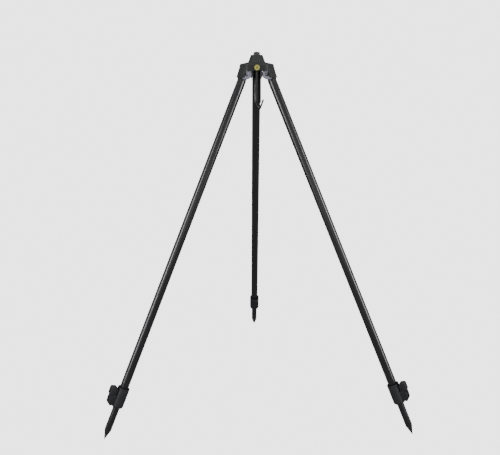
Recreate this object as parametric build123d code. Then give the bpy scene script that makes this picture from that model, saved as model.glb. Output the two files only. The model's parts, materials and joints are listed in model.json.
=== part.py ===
"""Three-legged hanging stand: a clevis head on three telescopic legs with cam clamps and ground spikes.

Millimetres, +Z up. The origin is on the ground, under the head's axis and midway between the spike points.
"""
from build123d import *
from math import cos, radians, sin, tan
import os

os.makedirs("parts", exist_ok=True)

# ---------------------------------------------------------------- stance
foot_circle_r = 521.0          # spike points from the head's axis
leg_lean = 25.1                # degrees from vertical with the legs spread against their stops
pivot_r = 42.0                 # leg pivots from the head's axis
leg_azimuths = {"rear": 90.0, "left": 210.0, "right": 330.0}

# ---------------------------------------------------------------- fits
running = 0.10                 # radial, between parts that turn or slide on each other
loose = 0.30                   # between parts that pass each other

# ---------------------------------------------------------------- leg tubes
lower_tube_od = 20.0
tube_step = 5.0                # upper tube's outer diameter over the lower one's
tube_wall = 1.2
retracted_gap = 1.0            # between bush and knuckle with the leg pushed in
bush_length = 24.0
bush_cap_t = 3.0
bush_wall = 3.0
spike_cone = 32.0
spike_tip_r = 0.5
spike_spigot = 40.0

# ---------------------------------------------------------------- leg knuckle
flange_below_pivot = 17.0      # top face of the flange that caps the tube
flange_t = 2.0
flange_lip = 0.3               # beyond the tube
knuckle_lip = 0.1              # side faces of the tongue, beyond the tube
knuckle_eye_r = 9.5
tongue_half = 7.5              # across the leg, below the eye
spigot_length = 45.0
rivet_below_pivot = 36.0
rivet_shank_r = 2.0
rivet_depth = 6.0              # into the knuckle
rivet_head_r = 3.2
rivet_head_h = 1.2

# ---------------------------------------------------------------- head
lug_t = 3.0
lug_inner_inset = 14.5         # lugs' inner edges, inside the pivots
lug_bottom_below_pivot = 13.7
lug_bevel = 2.0                # at the lugs' outer lower corners
lug_inner_bevel = (10.0, 5.5)  # at the inner ones, along and up
lug_side_gap = 0.5             # by which the lugs' ends pass the rounding in the arms
lug_corner_r = 1.8
pivot_bolt_d = 6.0
pivot_bolt_end = 1.5           # past its nut
pivot_head_r = 5.2
pivot_head_h = 3.0
pivot_socket_af = 4.0
pivot_nut_af = 10.0
pivot_nut_h = 5.0
hub_plate_above_pivot = 11.3
hub_plate_t = 3.5
boss_r = 11.0
cover_wall = 2.2
web_bottom_above_pivot = 9.3
web_height = 19.0
web_inset = 4.5                # webs' broad faces, inside the pivots
web_corner_out = 3.0           # webs' narrow faces, beyond the broad ones
arm_bottom_below_pivot = 9.0
arm_top_out = 4.2              # arm's end wall beyond the pivot, at its top
arm_bottom_out = 16.5          # and at its bottom
arm_corner_r = 3.5
arm_hollow_corner_r = 1.5
side_wall_width = 2.0          # part of an arm's side that comes down beside the lugs
shoulder_rise = 5.5            # from the arm's outer top edge up to the foot of the cap
cap_rise = 20.0
cap_foot = (19.6, 23.0)        # apothems of the cap's broad and narrow faces at its foot
cap_top = (13.4, 16.0)         # and at its top
cap_edge_r = 1.8
blend = 1.5                    # depth by which joined bodies run into each other
badge_r = 7.6
badge_t = 1.6
badge_recess = 0.8
badge_boss_r = 9.8
badge_boss_h = 1.0
badge_inlay_r = 2.4

# ---------------------------------------------------------------- hanger
stud_d = 10.0
stud_proud = 0.9               # above the top nut
washer_r = 10.0
washer_t = 1.2
top_nut_af = 17.0
top_nut_h = 6.5
top_nut_turn = 12.0            # as it was tightened, degrees
barrel_r = 12.5
barrel_length = 92.0
barrel_wall = 1.5
barrel_plug_h = 30.0           # solid top end that takes the stud
barrel_floor = 5.0
barrel_edge_r = 1.5
stud_in_barrel = 26.0
hook_wire_d = 5.2
hook_head_h = 3.0
hook_drop = 4.5                # barrel's lower end to the first bend
hook_azimuth = -40.0           # direction the hook opens to
hook_reach = (11.7, 24.7)      # from the axis to the low corner and to the point
hook_depth = 13.0              # first bend to the low corner
hook_rise = 28.0               # low corner to the point
hook_bends = (5.0, 4.0)

# ---------------------------------------------------------------- cam clamp
clamp_bottom = 103.0           # from the spike point, along the leg
clamp_length = 60.0
clamp_wall = 5.0               # round the upper tube
clamp_foot_wall = 4.8          # round the lower tube
clamp_taper = 4.0
clamp_rim_depth = 3.0
clamp_rim_wall = 2.2
tube_depth = 22.0              # of the upper tube in the clamp
pin_above_bottom = 24.0
pin_clear = 5.5                # pin's axis beyond the clamp's wall
pin_d = 4.0
ear_r = 12.5
ear_inner = 5.2
ear_outer = 9.0
ear_touch = -30.0              # where the foot leaves the round of the ear, degrees round the pin
ear_heel = ((12.4, -7.1), (11.6, -11.5))                                # from the pin outwards and up
ear_foot = (5.0, -20.0)        # lowest corner
ear_root_below_pin = 16.0
cam_offset = 2.6
cam_half = 3.0
cam_gap = 0.2                  # closed cam to brake pad
pad_t = 2.8
window_length = 19.0
lever_split = 40.0             # where the lever widens to its full width, degrees round the pin
lever_open = 65.0
lever_inner = ((-4.6, 27.0), (-1.5, 33.0), (0.0, 36.5))                 # from the pin outwards and up
lever_outer = ((14.5, 35.5), (15.8, 31.0), (15.2, 12.0), (12.4, 2.0))
lever_lip_r = 1.4
tongue_drop = 4.0              # top of the lever's narrow tongue, below the clamp's top
clamp_screw_above_bottom = 49.0
clamp_screw_r = 1.7
clamp_screw_head_r = 3.2
clamp_screw_head_h = 2.0

# ---------------------------------------------------------------- derived
pivot_z = (foot_circle_r - pivot_r) / tan(radians(leg_lean))
pivot_at = (foot_circle_r - pivot_r) / sin(radians(leg_lean))
upper_tube_od = lower_tube_od + tube_step
upper_bore_r = upper_tube_od / 2 - tube_wall
lower_bore_r = lower_tube_od / 2 - tube_wall
upper_tube_top = pivot_at - flange_below_pivot - flange_t
lower_tube_reach = upper_tube_top - spigot_length - bush_cap_t - retracted_gap
flange_r = upper_tube_od / 2 + flange_lip
knuckle_half = upper_tube_od / 2 + knuckle_lip
lug_inner_half = knuckle_half + loose
lug_outer_half = lug_inner_half + lug_t
arm_half = lug_outer_half + loose + cover_wall
lug_inner_r = pivot_r - lug_inner_inset
lug_bottom_z = pivot_z - lug_bottom_below_pivot
web_apothem = pivot_r - web_inset
web_bottom_z = pivot_z + web_bottom_above_pivot
arm_r_top = pivot_r + arm_top_out
arm_r_bottom = pivot_r + arm_bottom_out
arm_bottom_z = pivot_z - arm_bottom_below_pivot
arm_top_z = web_bottom_z + web_height
wall_slope = (arm_r_bottom - arm_r_top) / (arm_top_z - arm_bottom_z)
cap_foot_z = arm_top_z + shoulder_rise
cap_top_z = cap_foot_z + cap_rise
badge_z = web_bottom_z + web_height / 2
badge_face_y = -web_apothem - badge_boss_h + badge_recess
hub_plate_z = pivot_z + hub_plate_above_pivot
barrel_top_z = hub_plate_z
barrel_bottom_z = barrel_top_z - barrel_length
clamp_r = upper_tube_od / 2 + clamp_wall
clamp_foot_r = lower_tube_od / 2 + clamp_foot_wall
clamp_top = clamp_bottom + clamp_length
tube_seat = clamp_top - tube_depth
pin_out = clamp_r + pin_clear
pin_at = clamp_bottom + pin_above_bottom
clamp_screw_at = clamp_bottom + clamp_screw_above_bottom
pad_face = lower_tube_od / 2 + running
cam_radius = pin_out - cam_offset - pad_face - pad_t - cam_gap
lever_hub_r = pin_clear - 2 * loose
window_low = pin_at - window_length / 2
window_high = pin_at + window_length / 2
beyond = 100.0                 # longer than anything that it cuts


def leg_frame(azimuth):
    """X outwards across the leg, Y along the pivot, Z up the leg from the spike point."""
    return Rot(0, 0, azimuth) * Pos(foot_circle_r, 0, 0) * Rot(0, -leg_lean, 0)


def head_frame(azimuth):
    """X outwards along one arm of the head, Z up."""
    return Rot(0, 0, azimuth)


def ring(r_out, r_in, low, high):
    """Upright tube from low to high."""
    height = high - low
    return Pos(0, 0, (low + high) / 2) * (Cylinder(r_out, height) - Cylinder(r_in, 2 * height))


def disc(radius, low, high):
    """Upright round bar from low to high."""
    return Pos(0, 0, (low + high) / 2) * Cylinder(radius, high - low)


def slab(points, low, high):
    """Outline in X and Z, thickened along Y from low to high."""
    face = make_face(Polyline(*points, close=True))
    return Pos(0, low, 0) * extrude(Plane.XZ * face, amount=-(high - low))


def cross_bar(radius, low, high, x, z):
    """Round bar along Y through (x, z)."""
    return Pos(x, (low + high) / 2, z) * Cylinder(radius, high - low, rotation=(90, 0, 0))


def cross_hex(flats, low, high, x, z):
    """Hexagonal bar along Y through (x, z)."""
    prism = extrude(RegularPolygon(flats / 2, 6, major_radius=False), amount=high - low)
    return Pos(x, high, z) * Rot(90, 0, 0) * prism


def wall_r(z):
    """Outer face of an arm's end wall at height z."""
    return arm_r_bottom - wall_slope * (z - arm_bottom_z)


def hexagon(broad, narrow, z):
    """Flat six-sided face: broad sides between the legs, narrow sides over them."""
    apothems = (narrow, broad)
    corners = []
    for i in range(6):
        here, after = apothems[i % 2], apothems[(i + 1) % 2]
        angle = radians(30 + 60 * i)
        along = (after - here * cos(radians(60))) / sin(radians(60))
        corners.append((here * cos(angle) - along * sin(angle), here * sin(angle) + along * cos(angle)))
    return Pos(0, 0, z) * Rot(0, 0, -60) * make_face(Polyline(*corners, close=True))


# ---------------------------------------------------------------- head
def arm_block(inset, bottom_z, corner_r):
    """One arm of the cover, or the hollow in it when inset is the wall."""
    top_z = arm_top_z - inset
    crown_z = cap_foot_z - inset
    half = arm_half - inset
    arm = slab([
        (0, bottom_z), (wall_r(bottom_z) - inset, bottom_z), (wall_r(top_z) - inset, top_z),
        (cap_foot[1], crown_z), (0, crown_z)], -half, half)
    ends = [e for e in arm.edges() if e.length > web_height and abs(abs(e.center().Y) - half) < 0.01
            and abs(e.center().X - wall_r(e.center().Z) + inset) < 0.01]
    return fillet(ends, corner_r)


def side_notch():
    """Space under an arm's sides that leaves the lugs in view."""
    edge_high = wall_r(web_bottom_z) - side_wall_width
    edge_low = wall_r(arm_bottom_z) - side_wall_width
    return slab([
        (-1, web_bottom_z), (edge_high, web_bottom_z), (edge_low, arm_bottom_z),
        (edge_low, arm_bottom_z - beyond), (-1, arm_bottom_z - beyond)], -arm_half - 1, arm_half + 1)


def make_head_cover():
    """Moulded cap with three hollow arms and the webs between them."""
    cap = loft([hexagon(*cap_foot, cap_foot_z - blend), hexagon(*cap_top, cap_top_z)])
    long_edges = cap.edges().filter_by(lambda e: e.bounding_box().size.Z > cap_rise * 0.8)
    cap = fillet(cap.edges().group_by(Axis.Z)[-1] + long_edges, cap_edge_r)
    web_corner = web_apothem + web_corner_out
    webs = extrude(hexagon(web_apothem, web_corner, web_bottom_z), amount=web_height - blend)
    webs += loft([
        hexagon(web_apothem, web_corner, arm_top_z - blend), hexagon(*cap_foot, cap_foot_z - blend / 3)])
    inner_foot = [a - cover_wall for a in cap_foot]
    inner_top = [a - cover_wall for a in cap_top]
    hollow_base = hexagon(web_apothem - cover_wall, web_corner, web_bottom_z - 1)
    hollow = extrude(hollow_base, web_height - cover_wall)
    hollow += loft([
        hexagon(*inner_foot, arm_top_z - cover_wall - 1), hexagon(*inner_top, cap_top_z - cover_wall)])
    arms = Part()
    for azimuth in leg_azimuths.values():
        arms += head_frame(azimuth) * (arm_block(0, arm_bottom_z, arm_corner_r) - side_notch())
        hollow += head_frame(azimuth) * arm_block(cover_wall, arm_bottom_z - 5, arm_hollow_corner_r)
    front = Pos(0, -web_apothem, badge_z) * Rot(90, 0, 0)
    boss = front * extrude(Circle(badge_boss_r), amount=badge_boss_h)
    seat = extrude(Circle(badge_r + running / 2), amount=badge_t)
    seat = front * Pos(0, 0, badge_boss_h - badge_recess) * seat
    stud_hole = disc(stud_d / 2 + running, cap_foot_z, cap_top_z + 1)
    return cap + webs + arms + boss - hollow - seat - stud_hole


def make_badge_plate():
    """Round plate let into the boss on the front web, with a hole for its centre inlay."""
    face = Pos(0, badge_face_y, badge_z) * Rot(90, 0, 0)
    plate = extrude(Circle(badge_r), amount=badge_t)
    plate = fillet(plate.edges().group_by(Axis.Z)[-1], 0.6)
    plate -= Pos(0, 0, badge_t / 2) * extrude(Circle(badge_inlay_r), amount=badge_t)
    return face * plate


def make_badge_inlay():
    """Small domed stud in the middle of the badge plate."""
    face = Pos(0, badge_face_y, badge_z) * Rot(90, 0, 0)
    inlay = extrude(Circle(badge_inlay_r), amount=badge_t * 0.7)
    inlay = fillet(inlay.edges().group_by(Axis.Z)[-1], 0.4)
    return face * Pos(0, 0, badge_t / 2) * inlay


def make_hub_core():
    """Die-cast clevis hub: a plate with six lugs under it and a boss for the stud over it."""
    clear = cover_wall + arm_hollow_corner_r - lug_side_gap
    lug_top_z = hub_plate_z + hub_plate_t
    lug_foot_z = lug_bottom_z + lug_bevel
    plate_r = wall_r(lug_top_z) - clear
    hub = disc(lug_inner_r, hub_plate_z, lug_top_z) + disc(boss_r, hub_plate_z, cap_top_z - cover_wall)
    lug_outline = [
        (lug_inner_r, lug_top_z), (lug_inner_r, lug_bottom_z + lug_inner_bevel[1]),
        (lug_inner_r + lug_inner_bevel[0], lug_bottom_z),
        (wall_r(lug_bottom_z) - clear - lug_bevel, lug_bottom_z), (wall_r(lug_foot_z) - clear, lug_foot_z),
        (plate_r, lug_top_z)]
    for azimuth in leg_azimuths.values():
        plate = slab([(0, hub_plate_z), (plate_r, hub_plate_z), (plate_r, lug_top_z), (0, lug_top_z)],
                     -lug_outer_half, lug_outer_half)
        lugs = Part()
        for low, high in ((-lug_outer_half, -lug_inner_half), (lug_inner_half, lug_outer_half)):
            lug = slab(lug_outline, low, high)
            corners = [e for e in lug.edges().filter_by(Axis.Y) if e.center().Z < pivot_z]
            lugs += fillet(corners, lug_corner_r)
        bore = cross_bar(pivot_bolt_d / 2, -lug_outer_half - 1, lug_outer_half + 1, pivot_r, pivot_z)
        hub += head_frame(azimuth) * (plate + lugs - bore)
    return hub - disc(stud_d / 2, hub_plate_z - 1, cap_top_z)


def make_pivot_bolt(azimuth):
    """Button-head bolt through both lugs and the knuckle."""
    shank_end = -lug_outer_half - pivot_nut_h - pivot_bolt_end
    bolt = cross_bar(pivot_bolt_d / 2, shank_end, lug_outer_half, pivot_r, pivot_z)
    head_face = lug_outer_half + pivot_head_h
    head = cross_bar(pivot_head_r, lug_outer_half, head_face, pivot_r, pivot_z)
    head = fillet(head.edges().group_by(Axis.Y)[-1], pivot_head_h * 0.6)
    socket = cross_hex(pivot_socket_af, lug_outer_half + 1, head_face + 1, pivot_r, pivot_z)
    return head_frame(azimuth) * (bolt + head - socket)


def make_pivot_nut(azimuth):
    """Lock nut on the bolt's plain end, with its washer face towards the lug."""
    low, high = -lug_outer_half - pivot_nut_h, -lug_outer_half
    nut = cross_hex(pivot_nut_af, low, high, pivot_r, pivot_z)
    nut &= cross_bar(pivot_nut_af * 0.555, low, high, pivot_r, pivot_z)
    return head_frame(azimuth) * (nut - cross_bar(pivot_bolt_d / 2, low - 1, high + 1, pivot_r, pivot_z))


# ---------------------------------------------------------------- hanger
def make_hanger_stud():
    """Threaded stud that clamps cover, hub and barrel together."""
    low = barrel_top_z - stud_in_barrel
    high = cap_top_z + washer_t + top_nut_h + stud_proud
    return chamfer(disc(stud_d / 2, low, high).edges(), 0.8)


def make_top_washer():
    """Flat washer under the top nut."""
    return ring(washer_r, stud_d / 2, cap_top_z, cap_top_z + washer_t)


def make_top_nut():
    """Hexagon nut on top of the cap."""
    low = cap_top_z + washer_t
    prism = extrude(RegularPolygon(top_nut_af / 2, 6, major_radius=False), top_nut_h)
    nut = Pos(0, 0, low) * Rot(0, 0, top_nut_turn) * prism
    rounding = chamfer(disc(top_nut_af * 0.565, low, low + top_nut_h).edges(), 0.7)
    return (nut & rounding) - disc(stud_d / 2, low - 1, low + top_nut_h + 1)


def make_hanger_barrel():
    """Hanging tube with a solid top end for the stud; the hook turns in its floor."""
    bar = disc(barrel_r, barrel_bottom_z, barrel_top_z)
    bar = fillet(bar.edges().group_by(Axis.Z)[0], barrel_edge_r)
    hollow = disc(barrel_r - barrel_wall, barrel_bottom_z + barrel_floor, barrel_top_z - barrel_plug_h)
    thread = disc(stud_d / 2, barrel_top_z - barrel_plug_h - 1, barrel_top_z + 1)
    eye = disc(hook_wire_d / 2 + running, barrel_bottom_z - 1, barrel_bottom_z + barrel_floor + 1)
    return bar - hollow - thread - eye


def make_hook():
    """Bent wire hook with a round head that rests on the barrel's floor."""
    bend_z = barrel_bottom_z - hook_drop
    low_z = bend_z - hook_depth
    floor_z = barrel_bottom_z + barrel_floor
    path = FilletPolyline(
        (0, 0, floor_z), (0, 0, bend_z), (hook_reach[0], 0, low_z), (hook_reach[1], 0, low_z + hook_rise),
        radius=list(hook_bends))
    wire = sweep(Plane(path @ 0, z_dir=path % 0) * Circle(hook_wire_d / 2), path=path)
    tip = fillet(wire.edges().filter_by(GeomType.CIRCLE).sort_by(Axis.X)[-1], hook_wire_d * 0.3)
    return Rot(0, 0, hook_azimuth) * (tip + disc(stud_d / 2 - loose, floor_z, floor_z + hook_head_h))


# ---------------------------------------------------------------- leg, in the leg frame
def make_leg_knuckle():
    """Moulded end: eye and tongue above a flange, with a spigot that fills the tube's top."""
    flange_low = upper_tube_top
    flange_high = upper_tube_top + flange_t
    tongue = Pos(0, 0, (flange_low + pivot_at) / 2) * Box(
        2 * tongue_half, 2 * knuckle_half, pivot_at - flange_low)
    eye = cross_bar(knuckle_eye_r, -knuckle_half, knuckle_half, 0, pivot_at)
    eye = (eye + tongue) & disc(flange_r, flange_low, pivot_at + knuckle_eye_r)
    flange = disc(flange_r, flange_low, flange_high)
    spigot = disc(upper_bore_r, flange_low - spigot_length, flange_low)
    spigot = chamfer(spigot.edges().group_by(Axis.Z)[0], 1.5)
    knuckle = eye + flange + spigot
    knuckle -= cross_bar(pivot_bolt_d / 2 + running / 2, -beyond, beyond, 0, pivot_at)
    return knuckle - rivet_hole()


def rivet_hole():
    """Hole on the leg's inner side for the knuckle rivet."""
    return Pos(-upper_tube_od / 2, 0, pivot_at - rivet_below_pivot) * Cylinder(
        rivet_shank_r, 2 * (tube_wall + rivet_depth), rotation=(0, 90, 0))


def make_knuckle_rivet():
    """Domed blind rivet that holds tube and knuckle together."""
    shank_depth = tube_wall + rivet_depth
    face_x = -upper_tube_od / 2
    place = Pos(face_x, 0, pivot_at - rivet_below_pivot) * Rot(0, -90, 0)
    head = extrude(Circle(rivet_head_r), amount=rivet_head_h + 0.5)
    head = fillet(head.edges().group_by(Axis.Z)[-1], rivet_head_h * 0.8)
    head = place * Pos(0, 0, -0.5) * head - disc(upper_tube_od / 2, 0, pivot_at)
    return head + place * Pos(0, 0, -shank_depth) * extrude(Circle(rivet_shank_r), amount=shank_depth + 0.2)


def make_upper_tube():
    """Outer tube, from the clamp to the knuckle's flange."""
    hole = Pos(-upper_tube_od / 2, 0, clamp_screw_at) * Cylinder(clamp_screw_r, 12, rotation=(0, 90, 0))
    return ring(upper_tube_od / 2, upper_bore_r, tube_seat, upper_tube_top) - rivet_hole() - hole


def make_lower_tube():
    """Inner tube, from the spike to the guide bush."""
    return ring(lower_tube_od / 2, lower_bore_r, spike_cone, lower_tube_reach)


def make_guide_bush():
    """Slide bush plugged into the lower tube's top end and running in the upper tube."""
    head = disc(upper_bore_r - running, lower_tube_reach, lower_tube_reach + bush_cap_t)
    head = chamfer(head.edges().group_by(Axis.Z)[-1], 0.8)
    plug = disc(lower_bore_r, lower_tube_reach - bush_length, lower_tube_reach)
    hollow = disc(lower_bore_r - bush_wall, lower_tube_reach - bush_length - 1, lower_tube_reach)
    return head + plug - hollow


def make_foot_spike():
    """Turned point with a spigot in the lower tube's end."""
    cone = Pos(0, 0, spike_cone / 2) * Cone(spike_tip_r, lower_tube_od / 2, spike_cone)
    spigot = disc(lower_bore_r, spike_cone, spike_cone + spike_spigot)
    return cone + chamfer(spigot.edges().group_by(Axis.Z)[-1], 1.0)


def ear_outline():
    """Side view of one ear of the clamp: a round eye with a foot below it."""
    eye = Pos(pin_out, pin_at) * Circle(ear_r)
    tangent = radians(ear_touch)
    touch = (pin_out + ear_r * cos(tangent), pin_at + ear_r * sin(tangent))
    upper_heel, lower_heel = [(pin_out + out, pin_at + up) for out, up in ear_heel]
    foot = make_face(Polyline(
        (clamp_foot_r, pin_at - ear_root_below_pin), (pin_out + ear_foot[0], pin_at + ear_foot[1]), lower_heel,
        upper_heel, touch, (pin_out, pin_at), (clamp_foot_r, pin_at + ear_r - 2), close=True))
    return eye + foot


def make_lock_collar():
    """Clamp body: a sleeve on both tubes, two ears for the lever and a window for the pad."""
    taper_top = clamp_bottom + clamp_taper
    body = disc(clamp_r, taper_top, clamp_top)
    body += Pos(0, 0, (clamp_bottom + taper_top) / 2) * Cone(clamp_foot_r, clamp_r, clamp_taper)
    body = chamfer(body.edges().group_by(Axis.Z)[-1], 1.0)
    ears = extrude(Plane.XZ * ear_outline(), amount=ear_outer, both=True)
    ears -= Pos(pin_out + clamp_foot_r, 0, pin_at) * Box(2 * pin_out, 2 * ear_inner, 4 * ear_r)
    collar = body + ears
    collar -= slab([
        (0, window_low), (2 * clamp_r, window_low), (2 * clamp_r, window_high), (0, window_high)],
        -cam_half - loose, cam_half + loose)
    collar -= disc(lower_tube_od / 2 + running, 0, tube_seat + 1)
    collar -= disc(upper_tube_od / 2, tube_seat, clamp_top + 1)
    collar -= disc(clamp_r - clamp_rim_wall, clamp_top - clamp_rim_depth, clamp_top + 1)
    collar -= cross_bar(pin_d / 2, -ear_outer - 1, ear_outer + 1, pin_out, pin_at)
    screw = Pos(-clamp_r + 5, 0, clamp_screw_at) * Cylinder(clamp_screw_r, 14, rotation=(0, 90, 0))
    sink = Pos(-clamp_r, 0, clamp_screw_at) * Cylinder(
        clamp_screw_head_r + loose, 2 * clamp_screw_head_h, rotation=(0, 90, 0))
    return collar - screw - sink


def make_collar_screw():
    """Pan-head screw from the clamp into the upper tube, on the leg's inner side."""
    place = Pos(-clamp_r + clamp_screw_head_h, 0, clamp_screw_at) * Rot(0, -90, 0)
    head = extrude(Circle(clamp_screw_head_r), amount=clamp_screw_head_h * 0.8)
    head = fillet(head.edges().group_by(Axis.Z)[-1], 0.7)
    slot = Pos(0, 0, clamp_screw_head_h) * (Box(3.6, 0.9, 2.2) + Box(0.9, 3.6, 2.2))
    depth = clamp_r - clamp_screw_head_h - upper_bore_r
    return place * (head - slot + Pos(0, 0, -depth) * extrude(Circle(clamp_screw_r), amount=depth + 0.1))


def make_brake_pad():
    """Small block in the clamp's window that the cam presses on the lower tube."""
    block = Pos(pad_face + pad_t / 2 - 1, 0, pin_at) * Box(pad_t + 2, 2 * cam_half, window_length)
    return block - disc(pad_face, 0, tube_seat)


def make_lever_pin():
    """Pin through both ears and the lever."""
    return chamfer(cross_bar(pin_d / 2, -ear_outer - 0.3, ear_outer + 0.3, pin_out, pin_at).edges(), 0.3)


def make_cam_lever():
    """Flip lever: narrow tongue with a cam between the ears, full width above them."""
    outline = [(pin_out - lever_hub_r, pin_at)]
    outline += [(pin_out + out, pin_at + up) for out, up in lever_inner + lever_outer]
    outline += [(pin_out + lever_hub_r, pin_at - lever_hub_r / 2)]
    lever_half = ear_inner - loose
    tongue = slab(outline, -lever_half, lever_half)
    tongue += cross_bar(lever_hub_r, -lever_half, lever_half, pin_out, pin_at)
    tongue -= Pos(pin_out, 0, clamp_top - tongue_drop + beyond / 2) * Box(beyond, beyond, beyond)
    split = radians(lever_split)
    above = slab([
        (pin_out, pin_at), (pin_out + beyond * cos(split), pin_at + beyond * sin(split)),
        (pin_out, pin_at + 2 * beyond), (pin_out - beyond, pin_at + beyond), (pin_out - beyond, pin_at)],
        -ear_outer, ear_outer)
    blade = slab(outline, -ear_outer, ear_outer) & above
    blade -= cross_bar(ear_r + loose, -ear_outer, ear_outer, pin_out, pin_at)
    lip = [e for e in blade.edges().filter_by(Axis.Y) if e.center().Z > pin_at + lever_outer[1][1] - 0.1
           and e.center().X > pin_out + lever_inner[-1][0] - 0.1]
    blade = fillet(lip, lever_lip_r)
    cam = cross_bar(cam_radius, -cam_half, cam_half, pin_out - cam_offset, pin_at)
    lever = tongue + blade + cam
    return lever - cross_bar(pin_d / 2 + running / 2, -beyond, beyond, pin_out, pin_at)


# ---------------------------------------------------------------- write the nodes
nodes = {
    "head_cover": make_head_cover(),
    "badge_plate": make_badge_plate(),
    "badge_inlay": make_badge_inlay(),
    "hub_core": make_hub_core(),
    "hanger_stud": make_hanger_stud(),
    "top_washer": make_top_washer(),
    "top_nut": make_top_nut(),
    "hanger_barrel": make_hanger_barrel(),
    "hook": make_hook(),
}
for side, azimuth in leg_azimuths.items():
    nodes[f"pivot_bolt_{side}"] = make_pivot_bolt(azimuth)
    nodes[f"pivot_nut_{side}"] = make_pivot_nut(azimuth)
leg_parts = {
    "leg_knuckle": make_leg_knuckle(),
    "knuckle_rivet": make_knuckle_rivet(),
    "upper_tube": make_upper_tube(),
    "lower_tube": make_lower_tube(),
    "guide_bush": make_guide_bush(),
    "foot_spike": make_foot_spike(),
    "lock_collar": make_lock_collar(),
    "collar_screw": make_collar_screw(),
    "brake_pad": make_brake_pad(),
    "lever_pin": make_lever_pin(),
    "cam_lever": make_cam_lever(),
}
for side, azimuth in leg_azimuths.items():
    for name, shape in leg_parts.items():
        nodes[f"{name}_{side}"] = leg_frame(azimuth) * shape

for name, shape in nodes.items():
    export_step(shape, f"parts/{name}.step")
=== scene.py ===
"""Three-legged hanging stand: its detailed surfaces and finishes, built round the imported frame.

Lengths are metres, and every piece is made where it stays. A leg's own axes start at its pivot: outwards
across the leg, along the pivot, and up the leg. All of them are read from the frame's joints and nodes.
"""
import json
import logging
import math
from dataclasses import dataclass, field
from enum import Enum

import bmesh
import bpy
import numpy as np
from mathutils import Euler, Matrix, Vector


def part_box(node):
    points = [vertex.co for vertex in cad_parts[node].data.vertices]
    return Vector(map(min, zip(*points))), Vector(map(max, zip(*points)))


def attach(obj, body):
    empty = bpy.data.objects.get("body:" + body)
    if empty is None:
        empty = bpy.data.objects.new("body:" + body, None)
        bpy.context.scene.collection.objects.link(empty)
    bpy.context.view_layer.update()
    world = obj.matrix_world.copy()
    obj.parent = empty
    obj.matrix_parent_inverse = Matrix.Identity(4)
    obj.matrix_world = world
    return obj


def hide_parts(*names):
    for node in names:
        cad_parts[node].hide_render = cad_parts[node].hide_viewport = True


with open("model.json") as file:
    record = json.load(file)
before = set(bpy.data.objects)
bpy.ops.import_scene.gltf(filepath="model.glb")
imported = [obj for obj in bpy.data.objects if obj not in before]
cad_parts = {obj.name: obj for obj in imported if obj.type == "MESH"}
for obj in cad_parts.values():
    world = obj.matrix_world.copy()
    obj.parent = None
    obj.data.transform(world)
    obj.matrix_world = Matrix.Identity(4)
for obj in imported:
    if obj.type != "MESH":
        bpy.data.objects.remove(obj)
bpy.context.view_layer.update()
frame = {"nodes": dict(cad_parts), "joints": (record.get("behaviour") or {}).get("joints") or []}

log = logging.getLogger("stand")
Array = np.ndarray
Piece = bpy.types.Object
Tree = bpy.types.NodeTree
Socket = bpy.types.NodeSocket
Shell = tuple[np.ndarray, list]
MM = 0.001
TURN = 2 * math.pi
CREASE = math.radians(32)


# ------------------------------------------------------------------------------------------ surfaces
def rounded(corners: Array, radii: Array | list[float], steps: int = 5, closed: bool = False) -> Array:
    """Rounds the corners of an outline.

    Each corner P gives way to the curve (1-t)^2 A + 2t(1-t) P + t^2 B, where A and B lie on its two sides
    one radius from P, or 45% of the side if that is shorter.

    Args:
        corners: outline corners, shape (..., k, 2).
        radii: one radius for each corner.
        steps: points on each rounded corner.
        closed: whether the last corner joins the first.

    Returns:
        Points of shape (..., k * steps, 2).
    """
    back = np.roll(corners, 1, axis=-2) - corners
    ahead = np.roll(corners, -1, axis=-2) - corners
    far_back = np.linalg.norm(back, axis=-1, keepdims=True)
    far_ahead = np.linalg.norm(ahead, axis=-1, keepdims=True)
    cut = np.broadcast_to(np.asarray(radii, float)[:, None], far_back.shape)
    cut = np.minimum(cut, 0.45 * np.minimum(far_back, far_ahead))
    if not closed:
        cut = cut.copy()
        cut[..., [0, -1], :] = 0.0
    start = corners + back / np.maximum(far_back, 1e-9) * cut
    end = corners + ahead / np.maximum(far_ahead, 1e-9) * cut
    t = np.linspace(0, 1, steps)[:, None]
    curve = (1 - t) ** 2 * start[..., None, :] + 2 * t * (1 - t) * corners[..., None, :]
    curve = curve + t**2 * end[..., None, :]
    return curve.reshape(*corners.shape[:-2], -1, 2)


def curve(*corners: tuple[float, float, float], steps: int = 5, closed: bool = False) -> Array:
    """Rounded outline of corners given as (x, z, rounding radius)."""
    table = np.array(corners, float)
    return rounded(table[:, :2], table[:, 2], steps, closed)


def mesh_from(name: str, points: Array, faces: list, uv: Array | None = None) -> Piece:
    """Makes an object from points and faces, merges doubles, and smooths all but sharp creases.

    Args:
        name: the piece's name.
        points: vertex places, shape (n, 3).
        faces: vertex numbers of each face, in order round it.
        uv: one pair for each face corner, or None.

    Returns:
        The new object, in the scene's collection.
    """
    mesh = bpy.data.meshes.new(name)
    mesh.from_pydata(points.tolist(), [], faces)
    if uv is not None:
        layer = mesh.uv_layers.new(name="UVMap")
        layer.data.foreach_set("uv", uv.astype(np.float32).ravel())
    clean_mesh(mesh)
    piece = bpy.data.objects.new(name, mesh)
    bpy.context.scene.collection.objects.link(piece)
    return piece


def clean_mesh(mesh: bpy.types.Mesh) -> None:
    """Merges doubled points, points the faces outwards and marks the creases."""
    work = bmesh.new()
    work.from_mesh(mesh)
    bmesh.ops.remove_doubles(work, verts=work.verts, dist=2e-6)
    bmesh.ops.dissolve_degenerate(work, edges=work.edges, dist=1e-6)
    bmesh.ops.recalc_face_normals(work, faces=work.faces)
    work.to_mesh(mesh)
    work.free()
    mesh.polygons.foreach_set("use_smooth", np.ones(len(mesh.polygons), bool))
    mesh.set_sharp_from_angle(angle=CREASE)
    mesh.update()


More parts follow.
